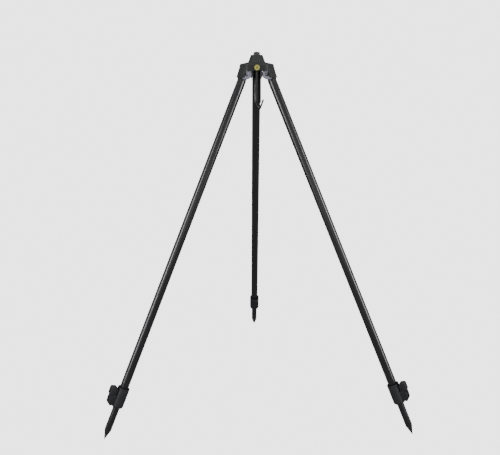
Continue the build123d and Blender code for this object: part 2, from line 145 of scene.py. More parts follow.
def quads(rows: int, cols: int, ring: bool = True, loop: bool = False) -> Array:
    """Corner numbers of a grid's faces, shape (rows, columns, 4); ring and loop join its ends."""
    r = np.arange(rows if loop else rows - 1)[:, None]
    c = np.arange(cols if ring else cols - 1)[None, :]
    r2, c2 = (r + 1) % rows, (c + 1) % cols
    return np.stack([r * cols + c, r * cols + c2, r2 * cols + c2, r2 * cols + c], -1)


def grid(name: str, points: Array, ring: bool = True, loop: bool = False) -> Piece:
    """Makes a surface from a grid of points: rows along the profile, columns round it.

    Its UV map is in metres: U runs round the piece and V along the profile.

    Args:
        name: the piece's name.
        points: shape (rows, columns, 3).
        ring: whether the last column joins the first.
        loop: whether the last row joins the first.

    Returns:
        The new object.
    """
    rows, cols = points.shape[:2]
    quad = quads(rows, cols, ring, loop)
    step_v = np.linalg.norm(np.roll(points, -1, 0) - points, axis=2).mean(1)
    step_u = np.linalg.norm(np.roll(points, -1, 1) - points, axis=2).mean(0)
    v = np.concatenate([[0], np.cumsum(step_v)])
    u = np.concatenate([[0], np.cumsum(step_u)])
    r, c = np.indices(quad.shape[:2])
    uv = np.stack([np.stack([u[c + i], v[r + j]], -1) for i, j in ((0, 0), (1, 0), (1, 1), (0, 1))], 2)
    return mesh_from(name, points.reshape(-1, 3), quad.reshape(-1, 4).tolist(), uv.reshape(-1, 2))


def lathe(profile: Array, columns: int = 64, plan: Array | None = None) -> Array:
    """Turns a profile of (radius, height) pairs round the Z axis.

    The point at angle a is (r cos a, r sin a, z). Where a plan is given, r is the smaller of the profile's
    radius and the plan's radius at that angle, which cuts flats on a round piece.

    Args:
        profile: (radius, height) pairs.
        columns: points round the piece.
        plan: a radius for each column, or None.

    Returns:
        Grid points of shape (profile points, columns, 3).
    """
    angle = np.linspace(0, TURN, columns, endpoint=False)
    radius = np.repeat(profile[:, :1], columns, axis=1)
    if plan is not None:
        radius = np.minimum(radius, plan[None, :])
    height = np.repeat(profile[:, 1:], columns, axis=1)
    return np.stack([radius * np.cos(angle), radius * np.sin(angle), height], -1)


def polygon_plan(sides: int, apothem: float, columns: int, turn: float = 0.0) -> Array:
    """Radius of a regular polygon at each angle: apothem over the cosine of the angle to a flat's middle."""
    angle = np.linspace(0, TURN, columns, endpoint=False) - turn
    sector = TURN / sides
    return apothem / np.cos((angle + sector / 2) % sector - sector / 2)


def slab(outline: Array, low: float, high: float, edge: float, steps: int = 4) -> Shell:
    """Thick plate with rounded edges: an outline carried across from low to high.

    At the angle a of the edge's quarter circle, the outline moves in by edge (1 - cos a) and stands
    edge (1 - sin a) short of the face.

    Args:
        outline: closed outline of (x, z) pairs.
        low: place of one face along Y.
        high: place of the other face.
        edge: radius of the rounded edges.
        steps: rows on each rounded edge.

    Returns:
        Points and faces.
    """
    ahead = np.roll(outline, -1, 0) - np.roll(outline, 1, 0)
    ahead /= np.maximum(np.linalg.norm(ahead, axis=1, keepdims=True), 1e-9)
    area = np.sum(outline[:, 0] * np.roll(outline[:, 1], -1) - np.roll(outline[:, 0], -1) * outline[:, 1])
    inward = np.stack([-ahead[:, 1], ahead[:, 0]], 1) * np.sign(area)
    a = np.linspace(math.pi / 2, 0, steps)
    inset = np.concatenate([edge * (1 - np.cos(a)), edge * (1 - np.cos(a[::-1]))])
    across = np.concatenate([low + edge * (1 - np.sin(a)), high - edge * (1 - np.sin(a[::-1]))])
    rows = outline[None] + inward[None] * inset[:, None, None]
    count, size = len(inset), len(outline)
    points = np.stack([rows[..., 0], np.repeat(across[:, None], size, 1), rows[..., 1]], -1).reshape(-1, 3)
    faces = quads(count, size).reshape(-1, 4).tolist()
    faces.append(tuple(range(size))[::-1])
    faces.append(tuple(range((count - 1) * size, count * size)))
    return points, faces


def tube_along(path: Array, radius: Array, columns: int = 24) -> Array:
    """Round bar along a path in the XZ plane: each ring lies across the path's direction there.

    A ring's point at angle a is P + r cos a N + r sin a Y, with N the path's normal in the plane.

    Args:
        path: (x, z) pairs.
        radius: the bar's radius at each of them.
        columns: points on each ring.

    Returns:
        Grid points of shape (path points, columns, 3).
    """
    ahead = np.gradient(path, axis=0)
    ahead /= np.linalg.norm(ahead, axis=1, keepdims=True)
    normal = np.stack([-ahead[:, 1], ahead[:, 0]], 1)
    angle = np.linspace(0, TURN, columns, endpoint=False)
    flat = path[:, None] + radius[:, None, None] * np.cos(angle)[None, :, None] * normal[:, None]
    side = radius[:, None] * np.sin(angle)[None, :]
    return np.stack([flat[..., 0], side, flat[..., 1]], -1)


def join(name: str, parts: list[Shell]) -> Piece:
    """Makes one object of several closed shells.

    Args:
        name: the piece's name.
        parts: points and faces of each shell.

    Returns:
        The new object.
    """
    offset, points, faces = 0, [], []
    for more, shell in parts:
        points.append(more)
        faces += [tuple(i + offset for i in face) for face in shell]
        offset += len(more)
    return mesh_from(name, np.concatenate(points), faces)


def shell_of(points: Array, ring: bool = True, loop: bool = False) -> Shell:
    """Points and faces of a grid, for join."""
    return points.reshape(-1, 3), quads(*points.shape[:2], ring, loop).reshape(-1, 4).tolist()


# ------------------------------------------------------------------------------------------ places
def node_points(node: str) -> Array:
    """Vertex places of a frame node, shape (n, 3)."""
    vertices = frame["nodes"][node].data.vertices
    flat = np.empty(3 * len(vertices), np.float32)
    vertices.foreach_get("co", flat)
    return flat.reshape(-1, 3).astype(float)


def joint(name: str) -> dict:
    """The frame's joint of that name."""
    return next(j for j in frame["joints"] if j["name"] == name)


class Side(Enum):
    """The three legs."""

    REAR = "rear"
    LEFT = "left"
    RIGHT = "right"


@dataclass(frozen=True)
class Axes:
    """A set of axes fixed in the stand: origin, and unit vectors out, across and up."""

    origin: Array
    out: Array
    across: Array
    up: Array

    @classmethod
    def of_leg(cls, side: Side) -> "Axes":
        """Axes of a leg, with the origin at its pivot and up along the leg."""
        fold = joint(f"leg_fold_{side.value}")
        up = -np.array(joint(f"leg_extend_{side.value}")["axis"], float)
        across = np.array(fold["axis"], float)
        return cls(np.array(fold["pos_m"], float), np.cross(across, up), across, up)

    @classmethod
    def of_arm(cls, side: Side) -> "Axes":
        """Axes of an arm of the head, with the origin on the ground under the head and up vertical."""
        across = np.array(joint(f"leg_fold_{side.value}")["axis"], float)
        up = np.array([0.0, 0.0, 1.0])
        return cls(np.zeros(3), np.cross(across, up), across, up)

    def world(self, points: Array) -> Array:
        """Places given on these axes, in the frame."""
        turn = np.stack([self.out, self.across, self.up])
        return self.origin + points @ turn

    def local(self, points: Array) -> Array:
        """Places in the frame, on these axes."""
        turn = np.stack([self.out, self.across, self.up])
        return (points - self.origin) @ turn.T

    def span(self, node: str) -> tuple[Array, Array]:
        """Lowest and highest corner of a frame node's box on these axes."""
        points = self.local(node_points(node))
        return points.min(0), points.max(0)


# ------------------------------------------------------------------------------------------ finishes
def linear(colour: str) -> tuple[float, float, float, float]:
    """Linear colour of an sRGB hex value such as #1a2b3c."""
    value = [int(colour[i : i + 2], 16) / 255 for i in (1, 3, 5)]
    light = [c / 12.92 if c <= 0.04045 else ((c + 0.055) / 1.055) ** 2.4 for c in value]
    return (light[0], light[1], light[2], 1.0)


def add_node(tree: Tree, kind: str, wires: dict | None = None, **settings) -> bpy.types.Node:
    """Adds a shader node.

    Args:
        tree: the material's node tree.
        kind: node type without its ShaderNode prefix.
        wires: for each input name or number, a socket to link from or a value to set.
        settings: attributes of the node.

    Returns:
        The new node.
    """
    node = tree.nodes.new("ShaderNode" + kind)
    for name, value in settings.items():
        setattr(node, name, value)
    for key, value in (wires or {}).items():
        if isinstance(value, Socket):
            tree.links.new(value, node.inputs[key])
        else:
            node.inputs[key].default_value = value
    return node


@dataclass(frozen=True)
class Finish:
    """A finish: what the surface is made of and how it was made."""

    name: str
    slot: str
    colour: str
    worn: str
    roughness: float
    metallic: float = 0.0
    specular: float = 0.5

    def build(self, tree: Tree, shader: bpy.types.Node) -> None:
        """Adds this finish's pattern to the shader."""
        raise NotImplementedError

    def wire(self, tree: Tree, shader: bpy.types.Node, shade: Socket, relief: Socket,
             rough: Socket | None = None) -> None:
        """Links the colour blended by shade, the relief and the roughness to the shader."""
        tree.links.new(blend_colour(tree, shade, self.colour, self.worn), shader.inputs["Base Color"])
        tree.links.new(relief, shader.inputs["Normal"])
        if rough is not None:
            tree.links.new(rough, shader.inputs["Roughness"])

    def rough(self, tree: Tree, pattern: Socket, below: float, above: float, *ends: float) -> Socket:
        """Roughness that a pattern carries from below the finish's own to above it."""
        return spread(tree, pattern, self.roughness - below, self.roughness + above, *ends)

    def material(self) -> bpy.types.Material:
        """The finish as a material, made once."""
        known = bpy.data.materials.get(self.name)
        if known:
            return known
        made = bpy.data.materials.new(self.name)
        made.use_nodes = True
        shader = made.node_tree.nodes["Principled BSDF"]
        shader.inputs["Base Color"].default_value = linear(self.colour)
        shader.inputs["Roughness"].default_value = self.roughness
        shader.inputs["Metallic"].default_value = self.metallic
        shader.inputs["Specular IOR Level"].default_value = self.specular
        self.build(made.node_tree, shader)
        return made

    def dress(self, piece: Piece) -> None:
        """Gives the piece this finish."""
        piece.data.materials.clear()
        piece.data.materials.append(self.material())

    def dress_node(self, node: str) -> None:
        """Gives a frame node this finish."""
        frame["nodes"][node].data.materials.clear()
        frame["nodes"][node].data.materials.append(self.material())


def combine(tree: Tree, how: str, first: Socket, second: Socket) -> Socket:
    """Sum, product or greater of two patterns, as the Math node names it."""
    return add_node(tree, "Math", {0: first, 1: second}, operation=how).outputs[0]


def edge_wear(tree: Tree, low: float, high: float) -> Socket:
    """A mask that is 1 on sharp outer edges: the surface's pointiness between low and high."""
    bend = add_node(tree, "NewGeometry")
    return spread(tree, bend.outputs["Pointiness"], 0.0, 1.0, low, high)


def noise(tree: Tree, where: Socket, size: float, detail: float = 2.0,
          stretch: tuple[float, float, float] = (1, 1, 1)) -> Socket:
    """Soft random pattern whose grains are size metres apart, stretched by the factors on each axis."""
    scale = [1.0 / (size * s) for s in stretch]
    placed = add_node(tree, "Mapping", {"Vector": where, "Scale": scale})
    wires = {"Vector": placed.outputs[0], "Scale": 1.0, "Detail": detail}
    return add_node(tree, "TexNoise", wires).outputs[0]


def spread(tree: Tree, value: Socket, low: float, high: float,
           start: float = 0.3, end: float = 0.7) -> Socket:
    """Carries a pattern's start..end onto low..high."""
    return add_node(tree, "MapRange", {
        "Value": value, "From Min": start, "From Max": end, "To Min": low, "To Max": high}).outputs[0]


def blend_colour(tree: Tree, mask: Socket, first: str, second: str) -> Socket:
    """Mix of two hex colours by a mask."""
    mixed = add_node(tree, "Mix", {0: mask, 6: linear(first), 7: linear(second)}, data_type="RGBA")
    return mixed.outputs[2]


def bump(tree: Tree, height: Socket, depth: float, strength: float) -> Socket:
    """Normals of a relief that is depth metres deep."""
    return add_node(tree, "Bump", {"Height": height, "Distance": depth, "Strength": strength}).outputs[0]


@dataclass(frozen=True)
class MouldedNylon(Finish):
    """Glass-filled nylon from a spark-eroded mould: charcoal, with an even dull grain and paler edges."""

    grain: float = 0.9 * MM
    clouding: float = 22 * MM

    def build(self, tree: Tree, shader: bpy.types.Node) -> None:
        """Grain as relief, soft clouding from the flow of the melt, and wear on the edges."""
        where = add_node(tree, "TexCoord").outputs["Object"]
        # The real grain is near 0.2 mm; it is drawn coarser so that it shows.
        grain = noise(tree, where, self.grain, 3.0)
        cloud = noise(tree, where, self.clouding, 2.0)
        wear = combine(tree, "MULTIPLY", edge_wear(tree, 0.53, 0.62), spread(tree, grain, 0.2, 1.0))
        shade = combine(tree, "MAXIMUM", spread(tree, cloud, 0.0, 0.35), wear)
        self.wire(tree, shader, shade, bump(tree, grain, 0.06 * MM, 0.7), self.rough(tree, grain, 0.06, 0.08))


@dataclass(frozen=True)
class AnodisedTube(Finish):
    """Drawn aluminium tube, black anodised: satin, with fine draw lines along it and faint dusty clouding."""

    def build(self, tree: Tree, shader: bpy.types.Node) -> None:
        """Draw lines and scuffs follow the tube by its own UV map, which is in metres."""
        where = add_node(tree, "TexCoord").outputs["UV"]
        # Draw lines are under 0.1 mm apart; they are drawn at 0.7 mm.
        lines = noise(tree, where, 0.7 * MM, 2.0, (1, 260, 1))
        cloud = noise(tree, where, 30 * MM, 3.0, (1, 5, 1))
        scuff = noise(tree, where, 2.5 * MM, 4.0, (4, 1, 1))
        scuffed = spread(tree, scuff, 0.0, 1.0, 0.66, 0.8)
        shade = combine(tree, "MAXIMUM", spread(tree, cloud, 0.0, 0.6), scuffed)
        rough = combine(tree, "ADD", spread(tree, lines, -0.03, 0.03), self.rough(tree, cloud, 0.03, 0.05))
        self.wire(tree, shader, shade, bump(tree, lines, 0.01 * MM, 0.35), rough)


@dataclass(frozen=True)
class CastHub(Finish):
    """Zinc-aluminium die casting, barrel-polished: cool grey, slightly pitted, dull where it was cast."""

    def build(self, tree: Tree, shader: bpy.types.Node) -> None:
        """Fine pits as relief and grey clouding from the die's flow."""
        where = add_node(tree, "TexCoord").outputs["Object"]
        pits = noise(tree, where, 0.8 * MM, 3.0)
        flow = noise(tree, where, 9 * MM, 3.0)
        self.wire(tree, shader, spread(tree, flow, 0.0, 1.0), bump(tree, pits, 0.05 * MM, 0.6),
                  self.rough(tree, flow, 0.08, 0.1))


@dataclass(frozen=True)
class BlackZinc(Finish):
    """Zinc-plated steel, black passivated: dark metal with bare bright edges and turning marks."""

    def build(self, tree: Tree, shader: bpy.types.Node) -> None:
        """Edges go bright where the plating has rubbed off."""
        where = add_node(tree, "TexCoord").outputs["Object"]
        spots = noise(tree, where, 1.2 * MM, 3.0)
        wear = combine(tree, "MULTIPLY", edge_wear(tree, 0.52, 0.6), spread(tree, spots, 0.1, 1.0))
        self.wire(tree, shader, wear, bump(tree, spots, 0.02 * MM, 0.4), self.rough(tree, spots, 0.08, 0.08))


@dataclass(frozen=True)
class GlossCoat(Finish):
    """Steel under a baked gloss enamel: deep black with a slight orange-peel and a few rubbed spots."""

    def build(self, tree: Tree, shader: bpy.types.Node) -> None:
        """Orange-peel relief, and rubbed spots that follow the piece by its UV map."""
        where = add_node(tree, "TexCoord").outputs["UV"]
        peel = noise(tree, where, 1.6 * MM, 1.0)
        rub = noise(tree, where, 3.0 * MM, 4.0, (1, 3, 1))
        self.wire(tree, shader, spread(tree, rub, 0.0, 1.0, 0.6, 0.8), bump(tree, peel, 0.02 * MM, 0.4),
                  self.rough(tree, rub, 0.0, 0.15, 0.5, 0.8))
        shader.inputs["Coat Weight"].default_value = 0.15
        shader.inputs["Coat Roughness"].default_value = 0.12


@dataclass(frozen=True)
class MouldedBadge(Finish):
    """Glossy moulded ABS: even colour under a clear skin, with faint sink marks."""

    def build(self, tree: Tree, shader: bpy.types.Node) -> None:
        """Slight clouding and shallow sink marks."""
        where = add_node(tree, "TexCoord").outputs["Object"]
        cloud = noise(tree, where, 3 * MM, 2.0)
        self.wire(tree, shader, spread(tree, cloud, 0.0, 1.0), bump(tree, cloud, 0.04 * MM, 0.3))


@dataclass(frozen=True)
class TurnedSpike(Finish):
    """Turned bar, black anodised like the tubes: fine tool rings, and bare scratches towards the point."""

    point_z: float = 0.06

    def build(self, tree: Tree, shader: bpy.types.Node) -> None:
        """Tool rings along the UV map's V, and scratches that grow towards the ground."""
        coordinates = add_node(tree, "TexCoord")
        rings = noise(tree, coordinates.outputs["UV"], 0.8 * MM, 1.0, (60, 1, 1))
        scratch = noise(tree, coordinates.outputs["UV"], 1.2 * MM, 4.0, (1, 10, 1))
        height = add_node(tree, "SeparateXYZ", {0: coordinates.outputs["Object"]}).outputs["Z"]
        low = spread(tree, height, 0.0, 1.0, self.point_z, 0.0)
        bare = combine(tree, "MULTIPLY", spread(tree, scratch, 0.0, 1.0, 0.56, 0.66), low)
        self.wire(tree, shader, bare, bump(tree, rings, 0.03 * MM, 0.5), self.rough(tree, rings, 0.05, 0.08))


COVER = MouldedNylon("moulded_nylon_cover", "black_nylon", "#151616", "#272928", 0.55, specular=0.3)
CLAMP = MouldedNylon("moulded_nylon_clamp", "black_nylon", "#17171a", "#28282c", 0.58, specular=0.3)
GUIDE = MouldedNylon("moulded_nylon_guide", "guide_nylon", "#8f8f8a", "#a5a5a0", 0.5)
TUBE = AnodisedTube("anodised_tube", "black_tube", "#0f0f11", "#17171a", 0.3, specular=0.45)
SPIKE = TurnedSpike("turned_spike", "spike_black", "#111113", "#3a3a3c", 0.42, specular=0.4)
HUB = CastHub("cast_hub", "cast_grey", "#4c4c58", "#5e5e6a", 0.5, 0.3)
ZINC = BlackZinc("black_zinc", "dark_zinc", "#2c2c2f", "#77777c", 0.38, 0.8)
ENAMEL = GlossCoat("gloss_enamel", "black_steel", "#0c0c0d", "#161616", 0.3, specular=0.4)
BADGE = MouldedBadge("badge_ring", "badge_olive", "#8f8c3e", "#7c7934", 0.4)
INLAY = MouldedBadge("badge_centre", "badge_dark", "#45451c", "#525222", 0.4)


def place(piece: Piece, finish: Finish, body: str, *stands_for: str) -> Piece:
    """Dresses a piece, rides it on a body, and hides the frame nodes that it stands for.

    Args:
        piece: the new piece.
        finish: what it is made of.
        body: the body that it moves with.
        stands_for: frame nodes that it replaces.

    Returns:
        The same piece.
    """
    finish.dress(piece)
    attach(piece, body)
    if stands_for:
        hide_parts(*stands_for)
    log.info("%s: %d faces, rides on %s", piece.name, len(piece.data.polygons), body)
    return piece


# ------------------------------------------------------------------------------------------ head
@dataclass
class HeadCover:
    """Moulded cap of the head: three hollow arms, the webs between them and the cap in the middle."""

    wall: float = 2.2 * MM
    web_apothem: float = 37.5 * MM
    arm_half: float = 18.4 * MM
    arm_end_top: float = 46.2 * MM
    arm_end_bottom: float = 58.5 * MM
    side_edge: float = 2.0 * MM
    cap_foot: tuple[float, float] = (19.6 * MM, 23.0 * MM)
    cap_top: tuple[float, float] = (13.4 * MM, 16.0 * MM)
    shoulder_rise: float = 5.5 * MM
    cap_rise: float = 20.0 * MM
    web_height: float = 19.0 * MM
    stud_hole: float = 5.15 * MM
    web_corner: float = 3.0 * MM
    web_sharpness: float = 90.0
    arm_sharpness: float = 28.0
    cap_sharpness: float = 60.0
    columns: int = 1080
    angle: Array = field(init=False)
    arm_angles: list[float] = field(init=False)
    bottom_z: float = field(init=False)
    cap_z: float = field(init=False)
    crown_z: float = field(init=False)
    arm_top_z: float = field(init=False)
    web_z: float = field(init=False)

    def __post_init__(self) -> None:
        """Reads the arms' directions and the cover's height from the frame."""
        self.angle = np.linspace(0, TURN, self.columns, endpoint=False)
        arms = [Axes.of_arm(side).out for side in Side]
        self.arm_angles = [math.atan2(out[1], out[0]) for out in arms]
        low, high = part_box("head_cover")
        self.bottom_z = low.z
        self.cap_z = high.z
        self.crown_z = self.cap_z - self.cap_rise
        self.arm_top_z = self.crown_z - self.shoulder_rise
        self.web_z = self.arm_top_z - self.web_height

    def soft_min(self, distances: list[Array], sharpness: float) -> Array:
        """Smooth least of several radii: the -1/p power of the sum of their -p powers."""
        total = sum(np.maximum(d, 1e-6) ** -sharpness for d in distances)
        return total ** (-1 / sharpness)

    def soft_max(self, distances: list[Array], sharpness: float) -> Array:
        """Smooth greatest of several radii: the 1/p power of the sum of their p powers."""
        total = sum(d**sharpness for d in distances)
        return total ** (1 / sharpness)

    def side_distance(self, direction: float, apothem: float) -> Array:
        """Radius at each angle of a straight side that faces a direction: apothem over the cosine between."""
        return apothem / np.maximum(np.cos(self.angle - direction), 0.02)

    def hexagon(self, broad: float, narrow: float, sharpness: float) -> Array:
        """Radius at each angle of a hexagon: broad sides between the arms and narrow sides over them."""
        sides = []
        for arm in self.arm_angles:
            sides.append(self.side_distance(arm, narrow))
            sides.append(self.side_distance(arm + math.pi, broad))
        return self.soft_min(sides, sharpness)

    def end_wall(self, z: Array) -> Array:
        """Distance of the arms' end walls from the axis at height z: a straight slope."""
        slope = (self.arm_end_bottom - self.arm_end_top) / (self.arm_top_z - self.bottom_z)
        return self.arm_end_bottom - slope * (z - self.bottom_z)

    def outline(self, z: Array, inset: float) -> Array:
        """Outer radius at each angle and its height z: the greatest of the arms and the webs' hexagon."""
        end = self.end_wall(z) - inset
        half = self.arm_half - inset
        web = self.web_apothem - inset
        shapes = [self.hexagon(web, web + self.web_corner, self.web_sharpness)]
        for arm in self.arm_angles:
            turn = self.angle - arm
            ahead = np.cos(turn)
            reach = end / np.maximum(ahead, 0.02)
            side = half / np.maximum(np.abs(np.sin(turn)), 1e-3)
            box = self.soft_min([reach, side], self.arm_sharpness)
            shapes.append(np.where(ahead > 0.05, box, 1 * MM))
        return self.soft_max(shapes, self.web_sharpness)

    def lower_edge(self) -> Array:
        """Height of the lower edge at each angle: low on an arm's end, high under the webs."""
        low_turn = math.atan2(self.arm_half, self.arm_end_bottom - self.side_edge)
        high_turn = math.atan2(self.arm_half, float(self.end_wall(np.array(self.web_z))) - self.side_edge)
        turns = [np.abs((self.angle - arm + math.pi) % TURN - math.pi) for arm in self.arm_angles]
        nearest = np.minimum.reduce(turns)
        share = np.clip((nearest - low_turn) / (high_turn - low_turn), 0, 1)
        return self.bottom_z + (self.web_z - self.bottom_z) * share

    def build(self) -> None:
        """The shell is one closed strip: up the outside, over the cap, into the stud's hole, down the inside.

        At each angle its profile is ten corners of (radius, height), each rounded by its own radius.
        """
        low = self.lower_edge()
        ones = np.ones_like(self.angle)
        top = self.arm_top_z * ones
        inner_top = (self.arm_top_z - self.wall) * ones
        foot = self.hexagon(*self.cap_foot, self.cap_sharpness)
        peak = self.hexagon(*self.cap_top, self.cap_sharpness)
        hole = self.stud_hole * ones
        corners = [
            (self.outline(low, 0.0), low),
            (self.outline(top, 0.0), top),
            (foot, self.crown_z * ones),
            (peak, self.cap_z * ones),
            (hole, self.cap_z * ones),
            (hole, (self.cap_z - self.wall) * ones),
            (peak - self.wall, (self.cap_z - self.wall) * ones),
            (foot - self.wall, (self.crown_z - self.wall) * ones),
            (self.outline(inner_top, self.wall), inner_top),
            (self.outline(low, self.wall), low),
        ]
        radii = MM * np.array([0.7, 2.6, 1.6, 2.0, 0.4, 0.3, 1.0, 2.0, 2.0, 0.5])
        profile = np.stack([np.stack(c, -1) for c in corners], 1)
        curve = rounded(profile, radii, 6, closed=True)
        r, z = curve[..., 0].T, curve[..., 1].T
        points = np.stack([r * np.cos(self.angle), r * np.sin(self.angle), z], -1)
        cover = grid("cover_shell", points, loop=True)
        place(cover, COVER, "head", "head_cover")


@dataclass
class Badge:
    """Round plate with a raised rim and a darker centre, in a ring moulded on the front web."""

    bezel: float = 9.8 * MM
    bezel_height: float = 1.2 * MM
    rim: float = 1.4 * MM

    def forward(self, points: Array, face_y: float, middle: Array) -> Array:
        """Turns a lathe's Z axis to point forwards from the web: (x, y, z) goes to (x, face - z, y)."""
        return np.stack([points[..., 0] + middle[0], face_y - points[..., 2], points[..., 1] + middle[2]], -1)

    def build(self) -> None:
        """Three turned pieces: a bezel, the plate with its rim and a groove, and the domed centre."""
        low, high = (np.array(c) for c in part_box("badge_plate"))
        middle = (low + high) / 2
        radius = (high[0] - low[0]) / 2
        web_y = -HeadCover.web_apothem
        inside, foot = radius + 0.1 * MM, -0.6 * MM
        ring = curve(
            (inside, foot, 0.2 * MM), (inside, self.bezel_height, 0.5 * MM),
            (self.bezel, self.bezel_height, 0.8 * MM), (self.bezel + 0.3 * MM, foot, 0.2 * MM), closed=True)
        bezel = grid("badge_bezel", self.forward(lathe(ring, 96), web_y, middle), loop=True)
        place(bezel, COVER, "head")
        depth = high[1] - low[1]
        inlay_low, inlay_high = (np.array(c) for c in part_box("badge_inlay"))
        inner = (inlay_high[0] - inlay_low[0]) / 2
        rim = radius - self.rim
        seat, groove, lip = 0.3 * depth, 0.6 * depth, 0.8 * depth
        plate = curve(
            (0, 0, 0), (radius, 0, 0.2 * MM), (radius, depth, 0.6 * MM), (rim, depth, 0.4 * MM),
            (rim - 0.5 * MM, groove, 0.3 * MM), (inner + 1.6 * MM, groove, 0.3 * MM),
            (inner + 1.2 * MM, lip, 0.3 * MM), (inner + 0.1 * MM, lip, 0.2 * MM),
            (inner + 0.1 * MM, seat, 0.1 * MM), (0, seat, 0))
        plate_piece = grid("badge_disc", self.forward(lathe(plate, 96), high[1], middle))
        place(plate_piece, BADGE, "head", "badge_plate")
        dome = curve((0, seat, 0), (inner, seat, 0.1 * MM), (inner, 0.85 * depth, 0.7 * MM),
                     (0, 0.95 * depth, 0), steps=6)
        centre = grid("badge_centre_dome", self.forward(lathe(dome, 48), high[1], middle))
        place(centre, INLAY, "head", "badge_inlay")


@dataclass
class HubCasting:
    """Die-cast clevis hub: six lugs with rounded edges under a plate, and a boss round the stud."""

    edge: float = 0.6 * MM
    lug_thickness: float = 3.0 * MM
    plate_thickness: float = 3.5 * MM
    boss_radius: float = 11.0 * MM
    inner: float = 27.5 * MM
    foot_cut: float = 2.0 * MM
    inner_cut: tuple[float, float] = (10.0 * MM, 5.5 * MM)
    lean: float = 0.33

    def build(self) -> None:
        """Each lug is an outline in the arm's own plane, carried across its thickness."""
        parts = []
        low_z, top_z = (corner.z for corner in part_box("hub_core"))
        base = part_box("hanger_barrel")[1].z
        plate_top = base + self.plate_thickness
        for side in Side:
            arm = Axes.of_arm(side)
            outer = -arm.span(f"pivot_nut_{side.value}")[1][1]
            reach = arm.span("hub_core")[1][0]
            end = reach - self.lean * (plate_top - low_z - self.foot_cut)
            outline = curve(
                (self.inner, plate_top, 1 * MM), (self.inner, low_z + self.inner_cut[1], 2 * MM),
                (self.inner + self.inner_cut[0], low_z, 3 * MM),
                (reach + (self.lean * self.foot_cut - self.foot_cut), low_z, 1.5 * MM),
                (reach, low_z + self.foot_cut, 1.5 * MM), (end, plate_top, 1 * MM), steps=6, closed=True)
            for sign in (-1, 1):
                ends = sorted((sign * outer, sign * (outer - self.lug_thickness)))
                points, faces = slab(outline, ends[0], ends[1], self.edge)
                parts.append((arm.world(points), faces))
            plate = [(x, z, 0.5 * MM) for x, z in ((0, base), (end, base), (end, plate_top), (0, plate_top))]
            bar = curve(*plate, steps=4, closed=True)
            points, faces = slab(bar, -outer + 0.2 * MM, outer - 0.2 * MM, self.edge)
            parts.append((arm.world(points), faces))
        turned = curve(
            (0, base, 0), (self.inner, base, 1 * MM), (self.inner, plate_top, 1 * MM),
            (self.boss_radius + 2 * MM, plate_top, 2 * MM), (self.boss_radius, plate_top + 3 * MM, 2 * MM),
            (self.boss_radius, top_z, 1 * MM), (0, top_z, 0))
        parts.append(shell_of(lathe(turned, 72)))
        place(join("hub_casting", parts), HUB, "head", "hub_core")


